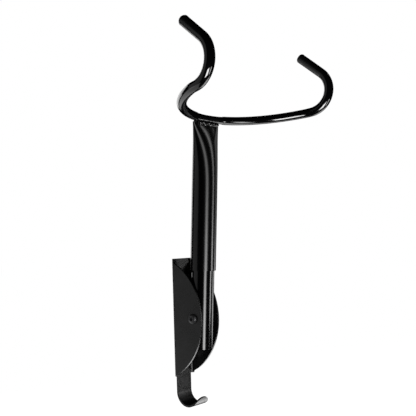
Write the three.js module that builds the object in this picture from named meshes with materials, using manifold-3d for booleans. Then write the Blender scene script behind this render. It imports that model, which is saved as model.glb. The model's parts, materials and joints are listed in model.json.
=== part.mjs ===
// Folding bicycle wall rack. Millimetres, +Z up, +Y into the wall.
// The origin is on the wall face of the bracket's back plate, level with the fold pivot.
// The arm leans a little forward of upright at rest, and folds down about the pivot bolt.

import * as THREE from 'three';
import { mergeVertices } from 'three/addons/utils/BufferGeometryUtils.js';
import Module from 'manifold-3d';

// Wall bracket: one pressed sheet with a back plate, two D-shaped sides and a helmet hook.
const sheet = 2;
const bracketHeight = 132;
const bracketDepth = 43;
const sideTopDrop = 5;
const sideBottomRise = 2;
const bendRadius = 4;
const mountHoleDiameter = 6.5;
const mountHoleInset = 19;

// Helmet hook: the tongue below the back plate. The drop is from the pivot to its lowest point.
const hookWidth = 22.4;
const hookDrop = 99.4;
const hookInnerRadius = 13.5;
const hookSweep = 163;
const hookTipRadius = 10;

// Fold pivot.
const pivotOut = 31.3;
const boltDiameter = 6;
const boltHeadDiameter = 11;
const boltHeadHeight = 3.3;
const boltHeadFlat = 5.6;
const boltSocket = 4;
const boltSocketDepth = 2;
const boltHoleClearance = 0.2;
const boltTail = 1.5;
const bushWall = 1.9;
const washerThickness = 0.6;
const washerDiameter = 18;
const nutWasherDiameter = 12.5;
const nutWasherThickness = 1.2;
const nutAcrossFlats = 10;
const nutHeight = 5;
const nutCollarHeight = 1.8;
const nutInsertHeight = 1.2;
const nutInsertWall = 0.6;
const nutCollarWall = 0.4;
const sideClearance = 0.1;
const runningClearance = 0.15;
const seatClearance = 0.3;

// Arm: an inner tube on the pivot and an outer tube that swivels on it.
const armLean = 3.7;
const innerTubeDiameter = 25.4;
const innerTubeWall = 1.5;
const innerTubeTail = 33.7;
const innerTubeTop = 126;
const outerTubeDiameter = 28.6;
const outerTubeStart = 53;
const outerTubeTop = 216.8;
const flattenLength = 86;
const flattenThickness = 6.6;
const flattenPower = 3.5;

// Swivel screw: it sits in the outer tube and runs in a slot of the inner tube.
const swivelScrewHeight = 75;
const swivelScrewDiameter = 5;
const swivelScrewSocket = 2.5;
const swivelScrewSocketDepth = 1.6;
const swivelScrewEntry = 1.9;
const swivelScrewInset = 0.4;
const swivelLimit = 25;

// Cradle: one bent rod. It sweeps forward from the middle, and each end hooks up and back.
const rodDiameter = 8.4;
const rodForward = 3;
const rodTilt = 11.8;
const sweepRadius = 111;
const sweepAngle = 65;
const cornerRadius = 30;
const cornerAngle = 17;
const hookRadius = 25;
const hookAngle = 132;
const tipLength = 34;
const rodSeatGap = 0.3;

// Vinyl coat over each end of the rod, and the weld beads under the middle.
const coatWall = 0.44;
const coatStart = 23;
const coatTipWall = 1.6;
const weldRadius = 2.8;
const weldLength = 33;
const frontWeldAhead = 4.4;
const frontWeldDrop = 1.2;
const rearWeldBehind = 2.4;
const rearWeldRise = 1.4;

// Worked out from the sizes above.
const innerRadius = innerTubeDiameter / 2;
const outerRadius = outerTubeDiameter / 2;
const outerTubeWall = outerRadius - innerRadius - runningClearance;
const insideGap = innerTubeDiameter + 2 * (washerThickness + 2 * sideClearance);
const bracketWidth = insideGap + 2 * sheet;
const rodRadius = rodDiameter / 2;
const rodHeight = outerTubeTop + rodSeatGap + rodRadius;
const boltRadius = boltDiameter / 2;
const bushBore = boltRadius + boltHoleClearance;
const bushRadius = bushBore + bushWall;
const insertRadius = bushBore + nutInsertWall;
const pocketRadius = insertRadius + sideClearance;
const collarRadius = pocketRadius + nutCollarWall;

// Smoothness: sides of a round piece, and steps along a curve.
const tubeSides = 32;
const boltSides = 24;
const rodSides = 12;
const weldSides = 16;
const bendSteps = 5;
const sideArcSteps = 22;
const hookArcSteps = 14;
const domeSteps = 6;
const flattenRows = 12;
const rodStepLength = 6;

// How far a cutter runs past what it cuts, and how close two corners are to be the same one.
const overshoot = 1;
const sameCorner = 1e-4;

// The power that gives an oval of any thickness the same length around.
const ovalPower = 5 / 3;

const radians = THREE.MathUtils.degToRad;
const wasm = await Module();
wasm.setup();

// ---- Joining and cutting ----

function toSolid(geometry) {
  const bare = geometry.clone();
  bare.deleteAttribute('normal');
  bare.deleteAttribute('uv');
  const merged = mergeVertices(bare, sameCorner);
  return new wasm.Manifold(new wasm.Mesh({
    numProp: 3,
    vertProperties: new Float32Array(merged.attributes.position.array),
    triVerts: new Uint32Array(merged.index.array),
  }));
}

function toGeometry(solid) {
  const mesh = solid.getMesh();
  const geometry = new THREE.BufferGeometry();
  geometry.setAttribute('position', new THREE.BufferAttribute(mesh.vertProperties, 3));
  geometry.setIndex(new THREE.BufferAttribute(mesh.triVerts, 1));
  geometry.computeVertexNormals();
  return geometry;
}

function cut(base, ...tools) {
  const solid = tools.reduce((result, tool) => result.subtract(toSolid(tool)), toSolid(base));
  return toGeometry(solid);
}

function join(first, ...others) {
  const solid = others.reduce((result, other) => result.add(toSolid(other)), toSolid(first));
  return toGeometry(solid);
}

function overlap(first, second) {
  return toGeometry(toSolid(first).intersect(toSolid(second)));
}

// ---- Simple shapes ----

function extrude(shape, depth, curveSegments = boltSides / 2, steps = 1) {
  return new THREE.ExtrudeGeometry(shape, { depth, curveSegments, steps, bevelEnabled: false });
}

// A profile drawn in Y and Z, drawn out along X between two places.
function extrudeAlongX(shape, from, to, curveSegments) {
  const basis = new THREE.Matrix4().makeBasis(
    new THREE.Vector3(0, 1, 0),
    new THREE.Vector3(0, 0, 1),
    new THREE.Vector3(1, 0, 0),
  );
  return extrude(shape, to - from, curveSegments).applyMatrix4(basis).translate(from, 0, 0);
}

// A profile drawn in X and Z, drawn out along Y between two places.
function extrudeAlongY(shape, from, to, curveSegments) {
  return extrude(shape, to - from, curveSegments).rotateX(Math.PI / 2).translate(0, to, 0);
}

function circle(radius, x = 0, y = 0) {
  return new THREE.Shape().absarc(x, y, radius, 0, 2 * Math.PI, false);
}

function ring(outside, inside) {
  const shape = circle(outside);
  shape.holes.push(new THREE.Path().absarc(0, 0, inside, 0, 2 * Math.PI, true));
  return shape;
}

function polygon(acrossFlats, sides) {
  const radius = acrossFlats / 2 / Math.cos(Math.PI / sides);
  const points = [];
  for (let i = 0; i < sides; i += 1) {
    const angle = (2 * Math.PI * (i + 0.5)) / sides;
    points.push(new THREE.Vector2(radius * Math.cos(angle), radius * Math.sin(angle)));
  }
  return new THREE.Shape(points);
}

function roundBarAlongX(radius, from, to) {
  return extrudeAlongX(circle(radius), from, to);
}

function discAlongX(outside, inside, from, to) {
  return extrudeAlongX(ring(outside, inside), from, to);
}

// ---- Wall bracket ----

// The pressed channel seen from above: two sides joined to the back plate by round bends.
function channelProfile() {
  const side = bracketWidth / 2;
  const inner = bendRadius - sheet;
  const bend = side - bendRadius;
  const shape = new THREE.Shape();
  shape.moveTo(-side, -bracketDepth - overshoot);
  shape.lineTo(-side + sheet, -bracketDepth - overshoot);
  shape.lineTo(-side + sheet, -bendRadius);
  shape.absarc(-bend, -bendRadius, inner, Math.PI, Math.PI / 2, true);
  shape.lineTo(bend, -sheet);
  shape.absarc(bend, -bendRadius, inner, Math.PI / 2, 0, true);
  shape.lineTo(side - sheet, -bracketDepth - overshoot);
  shape.lineTo(side, -bracketDepth - overshoot);
  shape.lineTo(side, -bendRadius);
  shape.absarc(bend, -bendRadius, bendRadius, 0, Math.PI / 2, false);
  shape.lineTo(-bend, 0);
  shape.absarc(-bend, -bendRadius, bendRadius, Math.PI / 2, Math.PI, false);
  return shape;
}

// The D-shaped side seen from the right: one arc that starts just inside the sheet's corners.
function sideProfile() {
  const half = bracketHeight / 2;
  const top = half - sideTopDrop;
  const bottom = sideBottomRise - half;
  const chord = (top - bottom) / 2;
  const reach = bracketDepth - bendRadius;
  const radius = (chord * chord + reach * reach) / (2 * reach);
  const sweep = Math.asin(chord / radius);
  const shape = new THREE.Shape();
  shape.moveTo(overshoot, -half);
  shape.lineTo(overshoot, half);
  shape.lineTo(-sheet, half);
  shape.lineTo(-bendRadius, top);
  shape.absarc(
    radius - bracketDepth,
    (top + bottom) / 2,
    radius,
    Math.PI - sweep,
    Math.PI + sweep,
    false,
  );
  shape.lineTo(-sheet, -half);
  return shape;
}

// The helmet hook seen from the right: straight down, then round and up to its tip.
function hookProfile() {
  const outer = hookInnerRadius + sheet;
  const bottom = -bracketHeight / 2;
  const centre = -hookDrop + outer;
  const sweep = radians(hookSweep);
  const shape = new THREE.Shape();
  shape.moveTo(0, bottom + sheet);
  shape.lineTo(-sheet, bottom + sheet);
  shape.lineTo(-sheet, centre);
  shape.absarc(-outer, centre, hookInnerRadius, 0, -sweep, true);
  shape.absarc(-outer, centre, outer, -sweep, 0, false);
  return shape;
}

// What is cut from the hook's end, so that the tip is rounded: a plate with a round bite.
function hookTipCutter() {
  const half = hookWidth / 2;
  const radius = Math.min(hookTipRadius, half - sheet / 4);
  const shape = new THREE.Shape();
  shape.moveTo(-half - overshoot, -radius);
  shape.lineTo(-half, -radius);
  shape.absarc(-half + radius, -radius, radius, Math.PI, Math.PI / 2, true);
  shape.lineTo(half - radius, 0);
  shape.absarc(half - radius, -radius, radius, Math.PI / 2, 0, true);
  shape.lineTo(half + overshoot, -radius);
  shape.lineTo(half + overshoot, overshoot);
  shape.lineTo(-half - overshoot, overshoot);
  const outer = hookInnerRadius + sheet;
  const middle = hookInnerRadius + sheet / 2;
  const sweep = radians(hookSweep);
  const tip = new THREE.Vector3(
    0,
    -outer + middle * Math.cos(-sweep),
    -hookDrop + outer + middle * Math.sin(-sweep),
  );
  const along = new THREE.Vector3(0, -Math.sin(sweep), -Math.cos(sweep));
  const across = new THREE.Vector3(1, 0, 0);
  const facing = new THREE.Vector3().crossVectors(across, along);
  return extrude(shape, hookInnerRadius)
    .translate(0, 0, -hookInnerRadius / 2)
    .applyMatrix4(new THREE.Matrix4().makeBasis(across, along, facing).setPosition(tip));
}

function wallBracket() {
  const half = bracketHeight / 2;
  const channel = extrude(channelProfile(), bracketHeight, bendSteps).translate(0, 0, -half);
  const sides = extrudeAlongX(sideProfile(), -bracketWidth, bracketWidth, sideArcSteps);
  const tongue = cut(
    extrudeAlongX(hookProfile(), -hookWidth / 2, hookWidth / 2, hookArcSteps),
    hookTipCutter(),
  );
  const pivotHole = roundBarAlongX(boltRadius + boltHoleClearance, -bracketWidth, bracketWidth)
    .translate(0, -pivotOut, 0);
  const mountHoles = [-1, 1].map((end) => extrudeAlongY(
    circle(mountHoleDiameter / 2, 0, end * (half - mountHoleInset)),
    -2 * sheet,
    sheet,
  ));
  return cut(join(overlap(channel, sides), tongue), pivotHole, ...mountHoles);
}

// ---- Fold pivot, drawn about its own axis along X ----

const flangeOutside = bracketWidth / 2 + sideClearance;
const nutSeat = flangeOutside + nutWasherThickness + sideClearance;
const nutEnd = nutSeat + nutHeight + nutCollarHeight;

function pivotBolt() {
  const headRadius = boltHeadDiameter / 2;
  const dome = new THREE.Shape();
  dome.moveTo(0, 0);
  dome.lineTo(headRadius, 0);
  dome.quadraticCurveTo(headRadius, boltHeadHeight, boltHeadFlat / 2, boltHeadHeight);
  dome.lineTo(0, boltHeadHeight);
  const head = new THREE.LatheGeometry(dome.getPoints(domeSteps), boltSides)
    .rotateZ(Math.PI / 2)
    .translate(-flangeOutside, 0, 0);
  const shank = roundBarAlongX(boltRadius, -flangeOutside - sheet / 2, nutEnd + boltTail);
  const headTop = -flangeOutside - boltHeadHeight;
  const socket = extrudeAlongX(
    polygon(boltSocket, 6),
    headTop - overshoot,
    headTop + boltSocketDepth,
  );
  return cut(join(head, shank), socket);
}

function frictionWasher(side) {
  const inside = innerRadius + sideClearance;
  const near = side < 0 ? -inside - washerThickness : inside;
  return discAlongX(washerDiameter / 2, bushBore, near, near + washerThickness);
}

function nutWasher() {
  return discAlongX(
    nutWasherDiameter / 2,
    bushBore,
    flangeOutside,
    flangeOutside + nutWasherThickness,
  );
}

// The nut's collar has a pocket at its outer end for the nylon ring.
function lockNut() {
  const hexagon = extrudeAlongX(polygon(nutAcrossFlats, 6), nutSeat, nutSeat + nutHeight);
  const collar = roundBarAlongX(collarRadius, nutSeat + nutHeight / 2, nutEnd);
  const bore = roundBarAlongX(bushBore, nutSeat - overshoot, nutEnd + overshoot);
  const pocket = roundBarAlongX(
    pocketRadius,
    nutEnd - nutInsertHeight - sideClearance,
    nutEnd + overshoot,
  );
  return cut(join(hexagon, collar), bore, pocket);
}

function lockNutInsert() {
  return discAlongX(insertRadius, bushBore, nutEnd - nutInsertHeight, nutEnd);
}

function pivotBush() {
  return discAlongX(bushRadius, bushBore, -innerRadius, innerRadius);
}

// ---- Arm tubes, drawn upright with the pivot at the origin ----

function swivelSlot() {
  const halfWidth = swivelScrewDiameter / 2 + seatClearance;
  const reach = radians(swivelLimit) + Math.asin(halfWidth / (innerRadius - innerTubeWall));
  const back = Math.PI / 2;
  const inside = innerRadius - innerTubeWall - overshoot;
  const shape = new THREE.Shape();
  shape.absarc(0, 0, innerRadius + overshoot, back - reach, back + reach, false);
  shape.absarc(0, 0, inside, back + reach, back - reach, true);
  return extrude(shape, 2 * halfWidth).translate(0, 0, swivelScrewHeight - halfWidth);
}

function innerTube() {
  const tube = extrude(
    ring(innerRadius, innerRadius - innerTubeWall),
    innerTubeTop + innerTubeTail,
    tubeSides / 2,
  ).translate(0, 0, -innerTubeTail);
  const pivotHole = roundBarAlongX(
    bushRadius + sideClearance,
    -innerTubeDiameter,
    innerTubeDiameter,
  );
  return cut(tube, pivotHole, swivelSlot());
}

// Half the thickness of the outer tube at a height: round below, pressed to an oval at the top.
function halfThickness(height, radius) {
  const down = Math.min(Math.max((outerTubeTop - height) / flattenLength, 0), 1);
  const end = flattenThickness / 2 + radius - outerRadius;
  return end + (radius - end) * (1 - (1 - down) ** flattenPower);
}

// Half the width of an oval that is as far around as the round tube. The power fits that length.
function ovalHalfWidth(half, radius) {
  const flat = Math.PI / 2;
  return radius * (flat - (flat - 1) * (half / radius) ** ovalPower);
}

// Moves a point of the round tube to the oval. The wall stays as thick as it was.
function pressOval(point, radius) {
  const half = halfThickness(point.z, radius);
  const depthInWall = radius - Math.hypot(point.x, point.y);
  point.x *= (ovalHalfWidth(half, radius) - depthInWall) / (radius - depthInWall);
  point.y *= (half - depthInWall) / (radius - depthInWall);
}

function pressedTube(shape, radius) {
  const rows = flattenRows + 1;
  const geometry = extrude(shape, rows, tubeSides / 2, rows);
  const flattenFrom = outerTubeTop - flattenLength;
  const rowHeight = flattenLength / flattenRows;
  const place = geometry.attributes.position;
  const point = new THREE.Vector3();
  for (let i = 0; i < place.count; i += 1) {
    point.fromBufferAttribute(place, i);
    const row = Math.round(point.z);
    point.z = row === 0 ? outerTubeStart : flattenFrom + (row - 1) * rowHeight;
    pressOval(point, radius);
    place.setXYZ(i, point.x, point.y, point.z);
  }
  return geometry;
}

function screwAlongY(radius, from, to) {
  return extrudeAlongY(circle(radius, 0, swivelScrewHeight), from, to);
}

function outerTube() {
  const tube = pressedTube(ring(outerRadius, outerRadius - outerTubeWall), outerRadius);
  const holeRadius = swivelScrewDiameter / 2 + sideClearance;
  return cut(tube, screwAlongY(holeRadius, innerRadius / 2, outerTubeDiameter));
}

function swivelScrew() {
  const outside = outerRadius - swivelScrewInset;
  const inside = innerRadius - swivelScrewEntry;
  const body = screwAlongY(swivelScrewDiameter / 2, inside, outside);
  const socket = extrudeAlongY(
    polygon(swivelScrewSocket, 6),
    outside - swivelScrewSocketDepth,
    outside + overshoot,
  );
  return cut(body, socket.translate(0, 0, swivelScrewHeight));
}

// ---- Cradle rod ----

const sweepLength = sweepRadius * radians(sweepAngle);
const cornerLength = cornerRadius * radians(cornerAngle);
const hookLength = hookRadius * radians(hookAngle);
const rodReach = sweepLength + cornerLength + hookLength + tipLength;

// A place on the rod's middle line, from the length along it. Left of the middle is negative.
function rodPlace(length, target) {
  const distance = Math.abs(length);
  const onSweep = Math.min(distance, sweepLength);
  const onCorner = Math.min(Math.max(distance - sweepLength, 0), cornerLength);
  const onHook = Math.min(Math.max(distance - sweepLength - cornerLength, 0), hookLength);
  const onTip = Math.max(distance - sweepLength - cornerLength - hookLength, 0);
  const first = onSweep / sweepRadius;
  const second = first + onCorner / cornerRadius;
  const lift = onHook / hookRadius;
  const sweepAcross = sweepRadius * Math.sin(first);
  const sweepAhead = sweepRadius * (1 - Math.cos(first));
  const cornerAcross = cornerRadius * (Math.sin(second) - Math.sin(first));
  const cornerAhead = cornerRadius * (Math.cos(first) - Math.cos(second));
  const level = hookRadius * Math.sin(lift) + onTip * Math.cos(lift);
  const rise = hookRadius * (1 - Math.cos(lift)) + onTip * Math.sin(lift);
  const across = sweepAcross + cornerAcross + level * Math.cos(second);
  const ahead = sweepAhead + cornerAhead + level * Math.sin(second);
  const tilt = radians(rodTilt);
  return target.set(
    Math.sign(length) * across,
    -rodForward - ahead * Math.cos(tilt) + rise * Math.sin(tilt),
    rodHeight + ahead * Math.sin(tilt) + rise * Math.cos(tilt),
  );
}

class RodLine extends THREE.Curve {
  constructor(from, to) {
    super();
    this.from = from;
    this.to = to;
  }

  getPoint(t, target = new THREE.Vector3()) {
    return rodPlace(THREE.MathUtils.lerp(this.from, this.to, t), target);
  }
}

function rodSolid(radius, from, to) {
  return new THREE.ExtrudeGeometry(circle(radius), {
    extrudePath: new RodLine(from, to),
    steps: Math.ceil((to - from) / rodStepLength),
    curveSegments: rodSides / 2,
    bevelEnabled: false,
  });
}

function cradleRod() {
  return rodSolid(rodRadius, -rodReach, rodReach);
}

function gripCoat(side) {
  const boreRadius = (rodRadius + seatClearance) / Math.cos(Math.PI / rodSides);
  const coatRadius = boreRadius + coatWall;
  const end = rodReach + coatTipWall;
  const bore = rodReach + seatClearance;
  const skin = side < 0
    ? rodSolid(coatRadius, -end, -coatStart)
    : rodSolid(coatRadius, coatStart, end);
  const hollow = side < 0
    ? rodSolid(boreRadius, -bore, -coatStart + overshoot)
    : rodSolid(boreRadius, coatStart - overshoot, bore);
  return cut(skin, hollow);
}

// A bead in the corner between the rod and the flat end of the tube.
function weldBead(ahead, height) {
  const half = weldLength / 2;
  const bead = extrudeAlongX(circle(weldRadius, -ahead, height), -half, half, weldSides / 2);
  const rodSpace = rodSolid(rodRadius + seatClearance, -weldLength, weldLength);
  const spaceRadius = outerRadius + seatClearance;
  const tubeSpace = pressedTube(circle(spaceRadius), spaceRadius);
  return cut(bead, rodSpace, tubeSpace);
}

// ---- Finishes ----

const powderCoat = new THREE.MeshStandardMaterial({ color: 0x0b0b0c, roughness: 0.32, metalness: 0.1 });
const tubeCoat = new THREE.MeshStandardMaterial({ color: 0x0d0d0e, roughness: 0.28, metalness: 0.1 });
const blackSteel = new THREE.MeshStandardMaterial({ color: 0x141415, roughness: 0.4, metalness: 0.8 });
const zincSteel = new THREE.MeshStandardMaterial({ color: 0x8d9093, roughness: 0.35, metalness: 1 });
const vinyl = new THREE.MeshStandardMaterial({ color: 0x0a0a0a, roughness: 0.22, metalness: 0 });
const nylon = new THREE.MeshStandardMaterial({ color: 0x121212, roughness: 0.5, metalness: 0 });

function piece(name, geometry, material) {
  const mesh = new THREE.Mesh(geometry, material);
  mesh.name = name;
  return mesh;
}

// ---- Assembly ----

const rack = new THREE.Group();
rack.add(piece('wall_bracket', wallBracket(), powderCoat));

const pivot = new THREE.Group();
pivot.position.set(0, -pivotOut, 0);
pivot.add(piece('pivot_bolt', pivotBolt(), blackSteel));
pivot.add(piece('friction_washer_left', frictionWasher(-1), nylon));
pivot.add(piece('friction_washer_right', frictionWasher(1), nylon));
pivot.add(piece('nut_washer', nutWasher(), zincSteel));
pivot.add(piece('lock_nut', lockNut(), zincSteel));
pivot.add(piece('lock_nut_ring', lockNutInsert(), nylon));
rack.add(pivot);

const arm = new THREE.Group();
arm.position.copy(pivot.position);
arm.rotation.x = radians(armLean);
arm.add(piece('inner_tube', innerTube(), tubeCoat));
arm.add(piece('pivot_bush', pivotBush(), zincSteel));
arm.add(piece('outer_tube', outerTube(), tubeCoat));
arm.add(piece('swivel_screw', swivelScrew(), blackSteel));
arm.add(piece('cradle_rod', cradleRod(), powderCoat));
arm.add(piece('grip_coat_left', gripCoat(-1), vinyl));
arm.add(piece('grip_coat_right', gripCoat(1), vinyl));
arm.add(piece('weld_front', weldBead(frontWeldAhead, outerTubeTop - frontWeldDrop), powderCoat));
arm.add(piece('weld_rear', weldBead(-rearWeldBehind, outerTubeTop + rearWeldRise), powderCoat));
rack.add(arm);

export default rack;
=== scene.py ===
import json
from math import atan2, cos, hypot, pi, radians, sin, sqrt

import bmesh
import bpy
from mathutils import Matrix, Vector


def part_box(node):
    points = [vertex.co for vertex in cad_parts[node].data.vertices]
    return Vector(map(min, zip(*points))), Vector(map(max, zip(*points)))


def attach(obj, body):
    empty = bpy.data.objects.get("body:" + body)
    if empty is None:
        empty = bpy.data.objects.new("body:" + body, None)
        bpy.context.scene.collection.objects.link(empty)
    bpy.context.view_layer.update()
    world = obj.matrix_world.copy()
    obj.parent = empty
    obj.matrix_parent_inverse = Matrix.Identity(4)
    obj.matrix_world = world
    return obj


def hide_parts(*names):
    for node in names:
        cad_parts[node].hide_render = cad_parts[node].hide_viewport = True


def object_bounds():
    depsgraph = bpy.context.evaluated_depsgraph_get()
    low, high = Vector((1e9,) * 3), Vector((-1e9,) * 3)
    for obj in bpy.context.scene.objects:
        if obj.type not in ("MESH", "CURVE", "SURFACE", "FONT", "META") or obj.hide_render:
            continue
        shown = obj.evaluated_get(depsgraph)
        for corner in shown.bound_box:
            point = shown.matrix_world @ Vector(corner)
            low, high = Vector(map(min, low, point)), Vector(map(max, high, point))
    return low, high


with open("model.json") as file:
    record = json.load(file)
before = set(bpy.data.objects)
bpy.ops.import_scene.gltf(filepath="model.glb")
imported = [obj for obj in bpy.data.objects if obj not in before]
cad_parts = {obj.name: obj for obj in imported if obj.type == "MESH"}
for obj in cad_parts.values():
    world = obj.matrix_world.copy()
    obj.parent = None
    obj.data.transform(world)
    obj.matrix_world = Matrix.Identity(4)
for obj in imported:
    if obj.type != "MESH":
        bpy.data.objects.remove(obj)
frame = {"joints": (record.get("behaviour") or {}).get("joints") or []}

cad_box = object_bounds()


# ---- Wall bracket ----
# One steel sheet, pressed into a channel with D-shaped sides and round bends.
# The tongue below its back plate is bent forward into a helmet hook. It is powder coated black.

sheet = 0.002
bend_radius = 0.004
hook_half_width = 0.0112
hook_outer_radius = 0.0155
hook_turn = radians(163)
hook_tip_radius = 0.0106
side_top_drop = 0.005
side_bottom_rise = 0.002
corner_round = 0.0028
pivot_hole_radius = 0.0032
mount_hole_radius = 0.00325
mount_hole_inset = 0.019
sheet_edge = 0.0004
arc_sides = 288
cut_snap = 1e-7
near = 1e-5
weld_snap = 1e-6
bend_steps = 10

pivot = Vector(frame["joints"][0]["pos_m"])
bracket_low, bracket_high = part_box("wall_bracket")
half_width = bracket_high.x
half_height = bracket_high.z
reach = -bracket_low.y


def edit(piece):
    """Opens one piece for editing, with nothing selected on it."""
    if bpy.context.object and bpy.context.object.mode == "EDIT":
        bpy.ops.object.mode_set(mode="OBJECT")
    bpy.ops.object.select_all(action="DESELECT")
    bpy.context.view_layer.objects.active = piece
    piece.select_set(True)
    bpy.ops.object.mode_set(mode="EDIT")
    bpy.ops.mesh.select_all(action="DESELECT")


def done():
    bpy.ops.object.mode_set(mode="OBJECT")
    return bpy.context.object


def started(name):
    """Names the primitive just added, and puts its place and turn into its mesh."""
    piece = bpy.context.object
    piece.name = piece.data.name = name
    bpy.ops.object.transform_apply(location=True, rotation=True, scale=True)
    return piece


def pick(kind, test):
    """Selects the vertices, edges or faces of the open mesh whose place and normal pass a test."""
    mesh = bmesh.from_edit_mesh(bpy.context.object.data)
    mesh.select_mode = {kind}
    for group in (mesh.verts, mesh.edges, mesh.faces):
        for item in group:
            item.select = False
    mesh.normal_update()
    for item in {"VERT": mesh.verts, "EDGE": mesh.edges, "FACE": mesh.faces}[kind]:
        if kind == "VERT":
            found = test(item.co)
        elif kind == "EDGE":
            found = all(test(corner.co) for corner in item.verts)
        else:
            found = test(item.calc_center_median(), item.normal)
        item.select_set(found)
    mesh.select_flush_mode()
    bmesh.update_edit_mesh(bpy.context.object.data)


def modify(piece, kind, **settings):
    """Adds one modifier and applies it."""
    bpy.ops.object.select_all(action="DESELECT")
    bpy.context.view_layer.objects.active = piece
    piece.select_set(True)
    modifier = piece.modifiers.new(kind.title(), kind)
    for name, value in settings.items():
        setattr(modifier, name, value)
    bpy.ops.object.modifier_apply(modifier=modifier.name)


def carve(piece, *cutters, operation="DIFFERENCE"):
    """Cuts a piece by others, which are used up."""
    for cutter in cutters:
        modify(piece, "BOOLEAN", object=cutter, operation=operation, solver="EXACT")
        bpy.data.objects.remove(cutter)


def rod_cutter(radius, middle, length, axis, sides=64):
    """A round bar along X, Y or Z, to cut a hole with."""
    turn = {"X": (0, pi / 2, 0), "Y": (pi / 2, 0, 0), "Z": (0, 0, 0)}[axis]
    bpy.ops.object.select_all(action="DESELECT")
    bpy.ops.mesh.primitive_cylinder_add(
        vertices=sides, radius=radius, depth=length, location=middle, rotation=turn)
    return started("cutter")


def break_edges(piece, width, segments=2, angle=radians(38)):
    """Rounds a piece's sharp edges a little, and keeps its flat faces flat to the light."""
    for face in piece.data.polygons:
        face.use_smooth = True
    modify(piece, "BEVEL", width=width, segments=segments, limit_method="ANGLE",
           angle_limit=angle, harden_normals=True, use_clamp_overlap=True)


segment_depth = reach - bend_radius
chord = half_height - (side_top_drop + side_bottom_rise) / 2
side_radius = (chord ** 2 + segment_depth ** 2) / (2 * segment_depth)
hook_centre = Vector((0, -hook_outer_radius, bracket_low.z + hook_outer_radius))

bpy.ops.object.select_all(action="DESELECT")
bpy.ops.mesh.primitive_cylinder_add(
    vertices=arc_sides, radius=side_radius, depth=2 * half_width,
    location=(0, side_radius - reach, (side_bottom_rise - side_top_drop) / 2), rotation=(0, pi / 2, 0))
bracket = started("bracket_shell")
edit(bracket)
bpy.ops.mesh.select_all(action="SELECT")
bpy.ops.mesh.bisect(plane_co=(0, -bend_radius, 0), plane_no=(0, 1, 0), clear_outer=True, threshold=cut_snap)
pick("FACE", lambda middle, normal: abs(normal.x) < 0.5)
bpy.ops.mesh.delete(type="FACE")
for side in (-1, 1):
    pick("EDGE", lambda place: place.x * side > 0 and abs(place.y + bend_radius) < near)
    bpy.ops.mesh.spin(
        steps=bend_steps, angle=-side * pi / 2, axis=(0, 0, 1),
        center=(side * (half_width - bend_radius), -bend_radius, 0))
pick("EDGE", lambda place: abs(place.y) < near)
bpy.ops.mesh.edge_face_add()
for end, trim in ((1, side_top_drop), (-1, side_bottom_rise)):
    pick("EDGE", lambda place: place.y > -bend_radius - near
         and abs(place.z - end * (half_height - trim)) < near)
    bpy.ops.mesh.extrude_region_move(TRANSFORM_OT_translate={"value": (0, 0, end * trim)})
    pick("VERT", lambda place: abs(place.y + bend_radius) < near and abs(place.z - end * half_height) < near)
    bpy.ops.mesh.bevel(offset=min(corner_round, trim), segments=6, affect="VERTICES")
for side in (-1, 1):
    pick("FACE", lambda middle, normal: abs(normal.y) > 0.99)
    bpy.ops.mesh.bisect(plane_co=(side * hook_half_width, 0, 0), plane_no=(1, 0, 0), threshold=cut_snap)
pick("EDGE", lambda place: abs(place.y) < near and abs(place.x) < hook_half_width + near
     and abs(place.z + half_height) < near)
bpy.ops.mesh.extrude_region_move(
    TRANSFORM_OT_translate={"value": (0, 0, hook_centre.z + half_height)})
hook_tip_turn = hook_tip_radius / hook_outer_radius
for turn, steps in ((hook_turn - hook_tip_turn, 36), (hook_tip_turn, 18)):
    bpy.ops.mesh.spin(steps=steps, angle=turn, axis=(1, 0, 0), center=hook_centre)


def hook_turned(place):
    """How far round the hook's bend a place is, from where the tongue starts to curve."""
    return atan2(hook_centre.z - place.z, place.y - hook_centre.y) % (2 * pi)


mesh = bmesh.from_edit_mesh(bracket.data)
for corner in mesh.verts:
    if corner.co.z < hook_centre.z + sheet and corner.co.y < hook_centre.y:
        from_tip = max((hook_turn - hook_turned(corner.co)) * hook_outer_radius, 0)
        if from_tip < hook_tip_radius:
            narrowing = hook_tip_radius - sqrt(hook_tip_radius ** 2 - (hook_tip_radius - from_tip) ** 2)
            corner.co.x *= 1 - narrowing / hook_half_width
bmesh.update_edit_mesh(bracket.data)
bpy.ops.mesh.select_all(action="SELECT")
bpy.ops.mesh.remove_doubles(threshold=weld_snap)
bpy.ops.mesh.normals_make_consistent(inside=False)
mesh = bmesh.from_edit_mesh(bracket.data)
plate = max(mesh.faces, key=lambda face: face.calc_center_median().y + face.calc_area())
if plate.normal.y < 0:
    bpy.ops.mesh.flip_normals()
done()
modify(bracket, "SOLIDIFY", thickness=sheet, offset=-1, use_even_offset=True)
carve(
    bracket,
    rod_cutter(pivot_hole_radius, pivot, 4 * half_width, "X"),
    *[rod_cutter(mount_hole_radius, (0, 0, end * (half_height - mount_hole_inset)), 6 * sheet, "Y")
      for end in (-1, 1)])
break_edges(bracket, sheet_edge)


class Wire:
    """A socket of a graph of nodes. Arithmetic on it adds Math nodes."""

    def __init__(self, graph, socket):
        self.graph = graph
        self.socket = socket

    def math(self, operation, first, second=0.0):
        return self.graph.node("ShaderNodeMath", {"operation": operation}, {0: first, 1: second})

    def __add__(self, other):
        return self.math("ADD", self, other)

    def __sub__(self, other):
        return self.math("SUBTRACT", self, other)

    def __rsub__(self, other):
        return self.math("SUBTRACT", other, self)

    def __mul__(self, other):
        return self.math("MULTIPLY", self, other)

    def __abs__(self):
        return self.math("ABSOLUTE", self)

    __radd__ = __add__
    __rmul__ = __mul__


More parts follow.
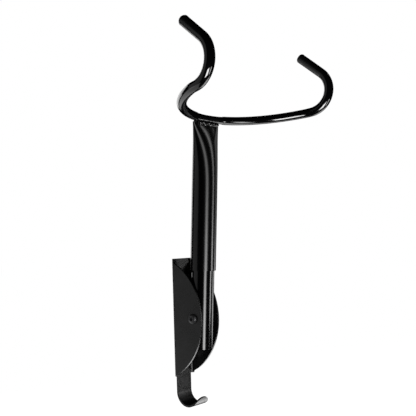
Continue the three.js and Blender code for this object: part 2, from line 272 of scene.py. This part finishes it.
class Graph:
    """The nodes of one material or light."""

    def __init__(self, tree):
        self.tree = tree

    def feed(self, socket, value):
        if isinstance(value, Wire):
            self.tree.links.new(value.socket, socket)
        else:
            socket.default_value = value

    def node(self, kind, settings=None, inputs=None, output=0):
        """Adds a node: its settings first, then the values or links of its sockets."""
        node = self.tree.nodes.new(kind)
        for name, value in (settings or {}).items():
            setattr(node, name, value)
        for socket, value in (inputs or {}).items():
            self.feed(node.inputs[socket], value)
        return Wire(self, node.outputs[output])


class Finish(Graph):
    """One material, with the nodes that feed its Principled shader."""

    def __init__(self, name, colour, roughness, **sockets):
        self.material = bpy.data.materials.new(name)
        self.material.use_nodes = True
        super().__init__(self.material.node_tree)
        self.shader = self.tree.nodes["Principled BSDF"]
        self.material.diffuse_color = (*colour, 1)
        self.set("Base Color", (*colour, 1))
        self.set("Roughness", roughness)
        for socket, value in sockets.items():
            self.set(socket.replace("_", " "), value)

    def set(self, socket, value):
        """Gives a socket of the shader a value or a link."""
        self.feed(self.shader.inputs[socket], value)

    def place(self):
        return self.node("ShaderNodeTexCoord", output="Object")

    def noise(self, size, detail=2.0, rough=0.5, stretch=(1, 1, 1)):
        """Soft noise with features of one size, in metres."""
        where = self.node("ShaderNodeMapping", inputs={"Vector": self.place(), "Scale": stretch})
        return self.node("ShaderNodeTexNoise", inputs={
            "Vector": where, "Scale": 1 / size, "Detail": detail, "Roughness": rough})

    def between(self, value, low, high):
        """Stretches a value so that low becomes 0 and high becomes 1."""
        return self.node(
            "ShaderNodeMapRange", inputs={"Value": value, "From Min": low, "From Max": high})

    def blend(self, amount, first, second):
        """Mixes two colours by an amount."""
        return self.node(
            "ShaderNodeMix", {"data_type": "RGBA"},
            {0: amount, 6: (*first, 1), 7: (*second, 1)}, output=2)

    def relief(self, *heights):
        """Bumps: pairs of a height from 0 to 1 and how deep that is, in metres."""
        normal = None
        for height, depth in heights:
            inputs = {"Height": height, "Distance": depth, "Strength": 1.0}
            if normal:
                inputs["Normal"] = normal
            normal = self.node("ShaderNodeBump", inputs=inputs)
        self.set("Normal", normal)

    def paint(self, piece):
        piece.data.materials.clear()
        piece.data.materials.append(self.material)


# Powder coat: flat black resin, baked on. It flows into a faint orange peel with specks of dust.
powder_black = (0.0010, 0.0010, 0.0011)
powder_scuffed = (0.0030, 0.0030, 0.0032)


def powder_coat(name, gloss):
    finish = Finish(name, powder_black, gloss, IOR=1.5)
    peel = finish.noise(0.0016, detail=1.5)
    grain = finish.noise(0.00035, detail=3.0)
    handling = finish.between(finish.noise(0.022, detail=4.0, rough=0.6), 0.42, 0.75)
    finish.set("Base Color", finish.blend(handling, powder_black, powder_scuffed))
    finish.set("Roughness", gloss + handling * 0.08 + (grain - 0.5) * 0.04)
    finish.relief((peel, 0.00003), (grain, 0.000006))
    return finish


bracket_coat = powder_coat("bracket_coat", 0.26)
bracket_coat.paint(bracket)
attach(bracket, "bracket")
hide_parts("wall_bracket")


# ---- Pivot bolt ----
# An M6 button-head screw of black steel, with a hexagon socket and a rolled thread.
# It goes in from the left, through both sides of the bracket and the arm between them.

bolt_radius = 0.003
head_height = 0.0033
rim_break = 0.0002
thread_start = 0.0015
ridge_rise = 0.0004
ridge_crest = 0.00015
tail_chamfer = 0.0006
bolt_edge = 0.00012
thread_depth = 0.0004
thread_pitch = 0.001
head_radius = 0.0055
head_dome = 0.0027
socket_flats = 0.004
socket_depth = 0.002
shank_sides = 48

bolt_low, bolt_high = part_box("pivot_bolt")
bolt_tail = bolt_high.x
head_seat = bolt_low.x + head_height


def turned(name, profile, middle=pivot, sides=shank_sides, axis=(1, 0, 0)):
    """Turns a profile round a line along X: its points are places along the line and radii.
    It starts as one corner, which is drawn out from point to point and then spun."""
    bpy.ops.object.select_all(action="DESELECT")
    bpy.ops.mesh.primitive_plane_add(size=0.001, location=middle)
    piece = started(name)
    edit(piece)
    bpy.ops.mesh.select_all(action="SELECT")
    bpy.ops.mesh.merge(type="CENTER")
    here = (middle.x, 0.0)
    first = True
    for along, radius in profile:
        step = (along - here[0], 0, radius - here[1])
        if first:
            bpy.ops.transform.translate(value=step)
        else:
            bpy.ops.mesh.extrude_vertices_move(TRANSFORM_OT_translate={"value": step})
        here = (along, radius)
        first = False
    bpy.ops.mesh.select_all(action="SELECT")
    bpy.ops.mesh.spin(steps=sides, angle=2 * pi, axis=axis, center=middle)
    bpy.ops.mesh.select_all(action="SELECT")
    bpy.ops.mesh.remove_doubles(threshold=2e-6)
    bpy.ops.mesh.normals_make_consistent(inside=False)
    return done()


def hexagon_cutter(flats, start, end):
    """A hexagonal bar along X."""
    corners = flats / 2 / cos(pi / 6)
    bpy.ops.object.select_all(action="DESELECT")
    bpy.ops.mesh.primitive_cylinder_add(
        vertices=6, radius=corners, depth=end - start,
        location=((start + end) / 2, pivot.y, pivot.z), rotation=(0, pi / 2, 0))
    return started("cutter")


def dome_profile(steps=9):
    """The head's outline, from the middle of its face round to its seat."""
    face = bolt_low.x
    flat = head_radius - head_dome
    rim = [
        (face + head_dome * (1 - cos(turn)), flat + head_dome * sin(turn))
        for turn in [pi / 2 * step / steps for step in range(steps + 1)]]
    return [(face, 0), *rim, (head_seat - rim_break, head_radius), (head_seat, head_radius - rim_break)]


def thread_profile(start, end):
    """A shank with a run of thread ridges."""
    points = []
    for turn in range(int((end - start) / thread_pitch)):
        left = start + turn * thread_pitch
        points += [(left, bolt_radius - thread_depth), (left + ridge_rise, bolt_radius),
                   (left + ridge_rise + ridge_crest, bolt_radius)]
    return points


bolt = turned("pivot_bolt_turned", [
    *dome_profile(), (head_seat, bolt_radius),
    *thread_profile(half_width + thread_start, bolt_tail - tail_chamfer),
    (bolt_tail - tail_chamfer, bolt_radius - rim_break),
    (bolt_tail, bolt_radius - 2 * thread_depth), (bolt_tail, 0)])
carve(bolt, hexagon_cutter(socket_flats, bolt_low.x - 0.001, bolt_low.x + socket_depth))
break_edges(bolt, bolt_edge)


# Black oxide steel: a dark tarnish with a little bare metal shine and turning marks.
def oxide(name):
    finish = Finish(name, (0.020, 0.020, 0.022), 0.36, Metallic=0.85)
    smut = finish.between(finish.noise(0.0012, detail=5.0, rough=0.65), 0.35, 0.7)
    rings = finish.noise(0.0006, detail=2.0, stretch=(6, 0.3, 0.3))
    finish.set("Base Color", finish.blend(smut, (0.09, 0.09, 0.092), (0.03, 0.03, 0.032)))
    finish.set("Roughness", 0.28 + smut * 0.2)
    finish.relief((rings, 0.000006), (smut, 0.000008))
    return finish


oxide("black_oxide").paint(bolt)
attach(bolt, "bracket")
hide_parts("pivot_bolt")


# ---- Nut, its washer and its nylon ring ----
# A zinc-plated M6 lock nut on the right. Its collar is rolled over a ring that grips the thread.

washer_low, washer_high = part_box("nut_washer")
nut_low, nut_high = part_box("lock_nut")
ring_low, ring_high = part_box("lock_nut_ring")
nut_bore = 0.0032
hexagon_height = 0.005
nut_flats = 0.010
nut_chamfer = 0.0006
nut_slack = 0.0001
cut_past = 0.001
collar_step = 0.0004
nut_edge = 0.00015
fine_edge = 0.00004
ring_grip = 0.00005
collar_radius = nut_bore + 0.0011
ring_radius = nut_bore + 0.0006


def washer_profile(low, high, bore, outside, edge=0.00015):
    """The closed outline of a flat ring with broken edges, from its bore round and back."""
    return [
        (low, bore + edge), (low + edge, bore), (high - edge, bore), (high, bore + edge),
        (high, outside - edge), (high - edge, outside), (low + edge, outside), (low, outside - edge),
        (low, bore + edge)]


def zinc(name):
    """Bright zinc plating with faint bluish and straw tints, dulled in patches."""
    finish = Finish(name, (0.48, 0.49, 0.50), 0.30, Metallic=1.0)
    tint = finish.noise(0.003, detail=2.0)
    dull = finish.between(finish.noise(0.0009, detail=4.0), 0.4, 0.75)
    finish.set("Base Color", finish.blend(tint, (0.42, 0.46, 0.52), (0.54, 0.51, 0.42)))
    finish.set("Roughness", 0.22 + dull * 0.25)
    finish.relief((finish.noise(0.0005, detail=3.0), 0.000008))
    return finish


def moulded_nylon(name):
    """Black nylon, a little uneven from moulding."""
    finish = Finish(name, (0.006, 0.006, 0.006), 0.42)
    cloud = finish.noise(0.0025, detail=3.0)
    finish.set("Base Color", finish.blend(cloud, (0.004, 0.004, 0.004), (0.010, 0.010, 0.010)))
    finish.set("Roughness", 0.36 + cloud * 0.14)
    finish.relief((finish.noise(0.0006), 0.00001))
    return finish


zinc_plate = zinc("zinc_plate")
nylon = moulded_nylon("moulded_nylon")

nut_washer = turned("nut_washer_pressed", washer_profile(
    washer_low.x, washer_high.x, nut_bore, washer_high.z - pivot.z))
nut = hexagon_cutter(nut_flats, nut_low.x, nut_low.x + hexagon_height)
nut.name = nut.data.name = "lock_nut_forged"
corner_radius = nut_flats / 2 / cos(pi / 6)
hexagon_end = nut_low.x + hexagon_height
barrel = turned("cutter", [
    (nut_low.x - cut_past, 0), (nut_low.x - cut_past, corner_radius - 0.0016),
    (nut_low.x + nut_chamfer, corner_radius + nut_slack),
    (hexagon_end - nut_chamfer, corner_radius + nut_slack),
    (hexagon_end + nut_chamfer, corner_radius - 0.0015), (hexagon_end + nut_chamfer, 0)])
carve(nut, barrel, operation="INTERSECT")
collar_start = nut_low.x + hexagon_height / 2
collar = turned("cutter", [
    (collar_start, 0), (collar_start, collar_radius + collar_step),
    (hexagon_end + nut_slack, collar_radius + collar_step),
    (hexagon_end + nut_chamfer, collar_radius), (nut_high.x - 0.0005, collar_radius),
    (nut_high.x - nut_slack, collar_radius - 0.0002),
    (nut_high.x, collar_radius - collar_step), (nut_high.x, 0)])
carve(nut, collar, operation="UNION")
pocket = turned("cutter", [
    (nut_low.x - cut_past, 0), (nut_low.x - cut_past, nut_bore), (ring_low.x - nut_slack, nut_bore),
    (ring_low.x - nut_slack, ring_radius + nut_slack), (nut_high.x + cut_past, ring_radius + nut_slack),
    (nut_high.x + cut_past, 0)])
carve(nut, pocket)
break_edges(nut, nut_edge)
nut_ring = turned("lock_nut_ring_pressed", washer_profile(
    ring_low.x, ring_high.x, bolt_radius + ring_grip, ring_radius))

for piece, finish, slot, node in (
        (nut_washer, zinc_plate, "zinc_steel", "nut_washer"), (nut, zinc_plate, "zinc_steel", "lock_nut"),
        (nut_ring, nylon, "nylon", "lock_nut_ring")):
    if piece is not nut:
        break_edges(piece, fine_edge, segments=1)
    finish.paint(piece)
    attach(piece, "bracket")
    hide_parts(node)


# ---- Friction washers ----
# Two nylon discs on the bolt, one on each side of the arm. They hold it where it is put.

disc_rim = 0.00008
disc_edge = 0.00002

for side in ("left", "right"):
    node = f"friction_washer_{side}"
    low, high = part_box(node)
    disc = turned(f"{node}_stamped", washer_profile(low.x, high.x, nut_bore, high.z - pivot.z, disc_rim))
    break_edges(disc, disc_edge, segments=1)
    nylon.paint(disc)
    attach(disc, "bracket")
    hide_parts(node)


# ---- Arm: inner tube and its bush ----
# A stock steel tube, square cut, that turns on the bolt by a bush pressed through it.
# It is painted gloss black before the outer tube goes over it.

arm_axis = Vector(frame["joints"][1]["axis"])
lean = atan2(-arm_axis.y, arm_axis.z)
tube_wall = 0.0015
inner_radius = 0.0127
inner_tail = 0.0337
inner_top = 0.126
bush_wall = 0.0019
bush_radius = nut_bore + bush_wall
slot_height = 0.075
slot_half_width = 0.0028
tube_sides = 128
tube_edge = 0.00025
bush_slack = 0.0001
bush_rim = 0.0002
slot_width_share = 1.2


def lean_forward(piece):
    """Tips a piece that was made upright over the pivot, to stand in line with the arm."""
    edit(piece)
    bpy.ops.mesh.select_all(action="SELECT")
    bpy.ops.transform.rotate(value=-lean, orient_axis="X", center_override=pivot)
    return done()


bpy.ops.object.select_all(action="DESELECT")
bpy.ops.mesh.primitive_cylinder_add(
    vertices=tube_sides, radius=inner_radius, depth=inner_top + inner_tail, end_fill_type="NOTHING",
    location=pivot + Vector((0, 0, (inner_top - inner_tail) / 2)))
inner_tube = started("inner_tube_drawn")
modify(inner_tube, "SOLIDIFY", thickness=tube_wall, offset=-1)
bpy.ops.object.select_all(action="DESELECT")
bpy.ops.mesh.primitive_cube_add(
    size=1, location=pivot + Vector((0, inner_radius, slot_height)),
    scale=(slot_width_share * inner_radius, inner_radius, 2 * slot_half_width))
slot_cutter = started("cutter")
carve(inner_tube, slot_cutter, rod_cutter(bush_radius + bush_slack, pivot, 4 * inner_radius, "X"))
break_edges(inner_tube, tube_edge)
lean_forward(inner_tube)


# Gloss black paint on steel tube: smooth, with long soft waves from the drawn tube under it.
def tube_paint(name, gloss, base=(0.0006, 0.0006, 0.0007)):
    finish = Finish(name, base, gloss, IOR=1.5, Coat_IOR=1.5)
    waves = finish.noise(0.007, detail=1.0, stretch=(1, 1, 0.25))
    peel = finish.noise(0.0012, detail=2.0)
    specks = finish.between(finish.noise(0.0006, detail=5.0, rough=0.7), 0.62, 0.75)
    haze = finish.noise(0.03, detail=3.0, stretch=(1, 1, 0.3))
    finish.set("Roughness", gloss + haze * 0.05 + specks * 0.12)
    finish.relief((waves, 0.00004), (peel, 0.000012), (specks, 0.000004))
    return finish


inner_paint = tube_paint("inner_tube_paint", 0.12)
inner_paint.paint(inner_tube)
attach(inner_tube, "arm")
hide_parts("inner_tube")

bush = lean_forward(turned("pivot_bush_cut", washer_profile(
    -inner_radius, inner_radius, nut_bore, bush_radius, bush_rim)))
break_edges(bush, fine_edge, segments=1)
zinc_plate.paint(bush)
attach(bush, "arm")
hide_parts("pivot_bush")


# ---- Outer tube ----
# A stock tube that slips over the inner one and turns on it. Its top is pressed flat in a vice
# tool, so that the round tube flares out sideways into a straight edge for the cradle rod.

outer_radius = 0.0143
outer_wall = 0.00145
outer_start = 0.053
outer_top = 0.2168
flatten_length = 0.086
flatten_thickness = 0.0066
flatten_power = 3.5
flatten_rows = 48
oval_power = 5 / 3
screw_hole_radius = 0.0026


def pressed(place):
    """Where a point of the round tube goes when the tube is pressed to an oval of the same girth."""
    down = min(max((outer_top - place.z) / flatten_length, 0), 1)
    end = flatten_thickness / 2
    half = end + (outer_radius - end) * (1 - (1 - down) ** flatten_power)
    half_wide = outer_radius * (pi / 2 - (pi / 2 - 1) * (half / outer_radius) ** oval_power)
    depth = outer_wall if hypot(place.x, place.y) < outer_radius - outer_wall / 2 else 0
    round_radius = outer_radius - depth
    return Vector((
        place.x * (half_wide - depth) / round_radius, place.y * (half - depth) / round_radius, place.z))


bpy.ops.object.select_all(action="DESELECT")
bpy.ops.mesh.primitive_circle_add(
    vertices=tube_sides, radius=outer_radius, location=(0, 0, outer_start))
outer_tube = started("outer_tube_pressed")
edit(outer_tube)
bpy.ops.mesh.select_all(action="SELECT")
flatten_from = outer_top - flatten_length
bpy.ops.mesh.extrude_region_move(TRANSFORM_OT_translate={"value": (0, 0, flatten_from - outer_start)})
for row in range(flatten_rows):
    bpy.ops.mesh.extrude_region_move(
        TRANSFORM_OT_translate={"value": (0, 0, flatten_length / flatten_rows)})
bpy.ops.mesh.select_all(action="SELECT")
bpy.ops.mesh.normals_make_consistent(inside=False)
done()
modify(outer_tube, "SOLIDIFY", thickness=outer_wall, offset=-1)
for corner in outer_tube.data.vertices:
    corner.co = pressed(corner.co) + pivot
screw_hole = pivot + Vector((0, outer_radius, slot_height))
carve(outer_tube, rod_cutter(screw_hole_radius, screw_hole, outer_radius, "Y"))
break_edges(outer_tube, tube_edge)
lean_forward(outer_tube)
outer_paint = tube_paint("outer_tube_paint", 0.16)
outer_paint.paint(outer_tube)
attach(outer_tube, "cradle")
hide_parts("outer_tube")


# ---- Swivel screw ----
# A short black set screw at the back of the outer tube. It runs in a slot of the inner tube.

screw_radius = 0.0025
screw_socket_flats = 0.0025
screw_outside = outer_radius - 0.0004
screw_inside = inner_radius - 0.0019
screw_inner_chamfer = 0.0004
screw_outer_chamfer = 0.0003
screw_socket_depth = 0.0016
screw_edge = 0.00008

screw = turned("swivel_screw_turned", [
    (screw_inside, 0), (screw_inside, screw_radius - screw_inner_chamfer),
    (screw_inside + screw_inner_chamfer, screw_radius), (screw_outside - screw_outer_chamfer, screw_radius),
    (screw_outside, screw_radius - screw_outer_chamfer), (screw_outside, 0)])
carve(screw, hexagon_cutter(
    screw_socket_flats, screw_outside - screw_socket_depth, screw_outside + cut_past))
break_edges(screw, screw_edge)
edit(screw)
bpy.ops.mesh.select_all(action="SELECT")
bpy.ops.transform.rotate(value=-pi / 2, orient_axis="Z", center_override=pivot)
bpy.ops.transform.translate(value=(0, 0, slot_height))
done()
lean_forward(screw)
oxide("screw_oxide").paint(screw)
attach(screw, "cradle")
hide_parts("swivel_screw")


# ---- Cradle rod ----
# One 8.4 mm steel rod. It sweeps forward from the middle of the flattened tube, turns a
# corner, hooks up and back, and ends straight. It is painted before its ends are dipped.

rod_radius = 0.0042
rod_forward = 0.003
rod_tilt = radians(11.8)
sweep_radius, sweep_turn = 0.111, radians(65)
corner_bend, corner_turn = 0.030, radians(17)
hook_radius, hook_bend = 0.025, radians(132)
tip_length = 0.034
rod_seat_gap = 0.0003
rod_height = outer_top + rod_seat_gap + rod_radius
rod_point_gap = 0.0015

sweep_length = sweep_radius * sweep_turn
corner_length = corner_bend * corner_turn
hook_length = hook_radius * hook_bend
rod_reach = sweep_length + corner_length + hook_length + tip_length


def rod_place(length):
    """A place on the rod's middle line, from the length along it. Left of the middle is negative."""
    left = abs(length)
    on_sweep = min(left, sweep_length)
    on_corner = min(max(left - sweep_length, 0), corner_length)
    on_hook = min(max(left - sweep_length - corner_length, 0), hook_length)
    on_tip = max(left - sweep_length - corner_length - hook_length, 0)
    first = on_sweep / sweep_radius
    second = first + on_corner / corner_bend
    lift = on_hook / hook_radius
    level = hook_radius * sin(lift) + on_tip * cos(lift)
    rise = hook_radius * (1 - cos(lift)) + on_tip * sin(lift)
    across = sweep_radius * sin(first) + corner_bend * (sin(second) - sin(first)) + level * cos(second)
    ahead = (sweep_radius * (1 - cos(first)) + corner_bend * (cos(first) - cos(second))
             + level * sin(second))
    return Vector((
        across if length > 0 else -across,
        -rod_forward - ahead * cos(rod_tilt) + rise * sin(rod_tilt),
        rod_height + ahead * sin(rod_tilt) + rise * cos(rod_tilt)))


def bar(name, start, end, radius_at, line=rod_place, sides=7, point_gap=rod_point_gap):
    """A round bar along a line, whose radius may change along it. A curve makes it."""
    curve = bpy.data.curves.new(name, "CURVE")
    curve.dimensions = "3D"
    curve.bevel_depth = 1.0
    curve.bevel_resolution = sides
    curve.use_fill_caps = True
    count = int(abs(end - start) / point_gap) + 1
    spline = curve.splines.new("POLY")
    spline.points.add(count)
    for step, point in enumerate(spline.points):
        along = start + (end - start) * step / count
        point.co = (*(line(along) + pivot), 1)
        point.radius = radius_at(along)
    piece = bpy.data.objects.new(name, curve)
    bpy.context.scene.collection.objects.link(piece)
    bpy.ops.object.select_all(action="DESELECT")
    bpy.context.view_layer.objects.active = piece
    piece.select_set(True)
    bpy.ops.object.convert(target="MESH")
    piece = bpy.context.object
    edit(piece)
    bpy.ops.mesh.select_all(action="SELECT")
    bpy.ops.mesh.remove_doubles(threshold=weld_snap)
    bpy.ops.mesh.normals_make_consistent(inside=False)
    done()
    bpy.ops.object.shade_smooth_by_angle(angle=radians(40))
    return piece


rod = lean_forward(bar("cradle_rod_bent", -rod_reach, rod_reach, lambda along: rod_radius, sides=9))
rod_coat = powder_coat("rod_coat", 0.12)
rod_coat.paint(rod)
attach(rod, "cradle")
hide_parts("cradle_rod")
glossy = bpy.data.collections.new("glossy")
glossy.objects.link(rod)


# ---- Grip coats ----
# Each end of the rod is dipped in soft black vinyl, tip down, up to beside the weld.
# The skin is thicker towards the tip, where it ends in a blunt drop with a duller surface.

coat_start = 0.0215
coat_feather = 0.004
coat_start_radius = 0.0047
coat_end_radius = 0.00555
drop_length = 0.0042
drop_bulge = 0.00015
coat_end = rod_reach + 0.0016


def coat_radius(along):
    """The coat's outside: feathered at its start, slowly thicker, and rounded at its tip."""
    left = abs(along)
    thicker = (left - coat_start) / (coat_end - coat_start)
    radius = coat_start_radius + (coat_end_radius - coat_start_radius) * thicker
    feather = min((left - coat_start) / coat_feather, 1)
    radius -= (coat_start_radius - rod_radius - 0.00008) * (1 - feather) ** 2
    beyond = (left - (coat_end - drop_length)) / drop_length
    if beyond > 0:
        radius += drop_bulge * sin(pi * min(beyond * 1.4, 1))
        radius *= max(1 - beyond ** 3.2, 0.0004) ** 0.5
    return radius


def vinyl_skin(name):
    """Wet-looking soft vinyl: slow waves where it ran, tiny pits, and a duller tip."""
    finish = Finish(name, (0.0008, 0.0008, 0.0009), 0.12, IOR=1.52)
    runs = finish.noise(0.006, detail=1.5)
    pits = finish.noise(0.0007, detail=3.0)
    dull = finish.between(finish.noise(0.011, detail=3.0, rough=0.6), 0.45, 0.8)
    height = finish.node("ShaderNodeSeparateXYZ", inputs={0: finish.place()}, output="Z")
    near_tip = finish.between(height, tip_dull_from, tip_dull_to)
    finish.set("Roughness", 0.07 + dull * 0.08 + near_tip * 0.25)
    finish.relief((runs, 0.00006), (pits * (near_tip + 0.25), 0.00003))
    return finish


tip_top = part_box("grip_coat_left")[1].z
tip_dull_from = tip_top - 0.045
tip_dull_to = tip_top - 0.015
vinyl = vinyl_skin("dipped_vinyl")
for side, name in ((-1, "grip_coat_left"), (1, "grip_coat_right")):
    skin = lean_forward(bar(f"{name}_dipped", side * coat_start, side * coat_end, coat_radius, sides=11))
    vinyl.paint(skin)
    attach(skin, "cradle")
    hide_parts(name)
    glossy.objects.link(skin)


# ---- Welds ----
# Two lumpy beads, laid in short overlapping pools along the corner between rod and tube,
# and painted over with the rod.

weld_half_length = 0.0165
pool_gap = 0.0021
front_weld = Vector((0, -0.0040, outer_top - 0.0006))
rear_weld = Vector((0, 0.0022, outer_top + 0.0014))


def weld_line(middle):
    def line(along):
        wander = 0.00025 * sin(along * 900) + 0.0002 * sin(along * 2300 + 1)
        return middle + Vector((along, wander, -wander))
    return line


def pool_radius(along):
    pool = abs(sin(pi * along / pool_gap)) ** 0.6
    ends = sqrt(max(1 - (abs(along) / (weld_half_length + 0.0008)) ** 8, 0.02))
    return (0.0022 + 0.0006 * pool + 0.00025 * sin(along * 1370 + 2)) * ends


weld_point_gap = 0.00025
weld_coat = powder_coat("weld_coat", 0.16)
for node, middle in (("weld_front", front_weld), ("weld_rear", rear_weld)):
    bead = lean_forward(bar(
        f"{node}_bead", -weld_half_length, weld_half_length, pool_radius, weld_line(middle),
        sides=5, point_gap=weld_point_gap))
    weld_coat.paint(bead)
    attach(bead, "cradle")
    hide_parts(node)
    glossy.objects.link(bead)


# ---- Studio ----
# A plain white floor and surroundings, tall soft boxes beside the camera and to its right,
# dim ones to the left and behind, and a ring of low ones that shine up from below.

floor_drop = 0.9
light_centre = Vector((0, 0, 0.08))
camera_place = Vector((-0.58446, -0.53514, 0.09192))
camera_bearing = radians(50.0)
camera_rise = radians(2.24)
camera_roll = radians(1.776)
camera_lens = 59.43

bpy.ops.object.select_all(action="DESELECT")
bpy.ops.mesh.primitive_plane_add(size=40, location=(0, 0, cad_box[0].z - floor_drop))
floor = started("floor")
white = Finish("floor_white", (0.9, 0.9, 0.9), 0.9)
white.set("Emission Color", (1, 1, 1, 1))
white.set("Emission Strength", 1.0)
white.paint(floor)
floor.visible_glossy = False
floor.visible_shadow = False

world = bpy.data.worlds.new("surroundings")
world.use_nodes = True
world.node_tree.nodes["Background"].inputs["Color"].default_value = (1, 1, 1, 1)
world.node_tree.nodes["Background"].inputs["Strength"].default_value = 1.0
world.cycles_visibility.glossy = False
world.cycles_visibility.diffuse = False
bpy.context.scene.world = world


def soft_box(name, bearing, rise, distance, width, height, radiance, dims=(0, 1, 1), edge=0.02, only=None):
    """A soft box at a bearing to the right of the camera, as bright as a white of that radiance.
    It may be dimmer at its top, its left and right edges may fade, and it may light only some pieces."""
    turn = camera_bearing + pi - radians(bearing)
    rise = radians(rise)
    away = Vector((sin(turn) * cos(rise), cos(turn) * cos(rise), sin(rise)))
    light = bpy.data.lights.new(name, "AREA")
    light.shape = "RECTANGLE"
    light.size, light.size_y = width, height
    light.energy = radiance * pi * width * height
    light.use_nodes = True
    glow = Graph(light.node_tree)
    place = glow.node("ShaderNodeNewGeometry", output="Parametric")
    sideways = glow.node("ShaderNodeSeparateXYZ", inputs={0: place}, output="X")
    upward = glow.node("ShaderNodeSeparateXYZ", inputs={0: place}, output="Y")
    fade = glow.node(
        "ShaderNodeMapRange", {"interpolation_type": "SMOOTHSTEP"},
        {"Value": abs(sideways - 0.5), "From Min": 0.5, "From Max": 0.5 - edge})
    dim = glow.node("ShaderNodeMapRange", inputs={
        "Value": upward, "From Min": dims[0], "From Max": dims[1], "To Min": 1.0, "To Max": dims[2]})
    glow.feed(light.node_tree.nodes["Emission"].inputs["Strength"], fade * dim)
    lamp = bpy.data.objects.new(name, light)
    lamp.location = light_centre + away * distance
    lamp.rotation_euler = (-away).to_track_quat("-Z", "Y").to_euler()
    lamp.visible_camera = False
    lamp.light_linking.receiver_collection = only
    bpy.context.scene.collection.objects.link(lamp)


# The strips and right_fill light only the satin pieces, and two bright low boxes only the glossy ones.
satin = bpy.data.collections.new("satin")
for piece in (bracket, bolt, inner_tube, outer_tube):
    satin.objects.link(piece)

soft_box("key_strip", 24.5, -6, 1.6, 0.92, 1.9, 12.0, (0.34, 0.58, 0.22), 0.42, satin)
soft_box("right_strip", 85, 8.6, 1.6, 0.50, 1.4, 9.0, (0.14, 0.33, 0.33), 0.4, satin)
soft_box("right_fill", 128, 8.6, 1.6, 0.75, 1.4, 2.4, (0.14, 0.30, 0.18), 0.1, satin)
soft_box("left_card", -80, 0, 2.0, 1.9, 2.4, 0.31)
soft_box("back_card", -150, 12, 4.0, 2.2, 2.6, 1.6)
soft_box("low_key", 8, -42, 4.0, 2.2, 1.9, 21.0, edge=0.08, only=glossy)
soft_box("low_right", 66, -34, 4.0, 1.2, 1.7, 8.0, edge=0.12, only=glossy)
soft_box("low_back", 135, -46, 4.0, 3.0, 2.4, 3.5, edge=0.15)
soft_box("low_left", -128, -45, 4.0, 8.0, 4.5, 0.85, edge=0.1)

camera_data = bpy.data.cameras.new("camera")
camera_data.lens = camera_lens
camera = bpy.data.objects.new("camera", camera_data)
facing = Vector((
    sin(camera_bearing) * cos(camera_rise), cos(camera_bearing) * cos(camera_rise), sin(camera_rise)))
level = facing.to_track_quat("-Z", "Y").to_matrix().to_4x4()
camera.matrix_world = Matrix.Translation(camera_place) @ level @ Matrix.Rotation(-camera_roll, 4, "Z")
bpy.context.scene.collection.objects.link(camera)
bpy.context.scene.camera = camera
bpy.context.scene.view_settings.view_transform = "Standard"
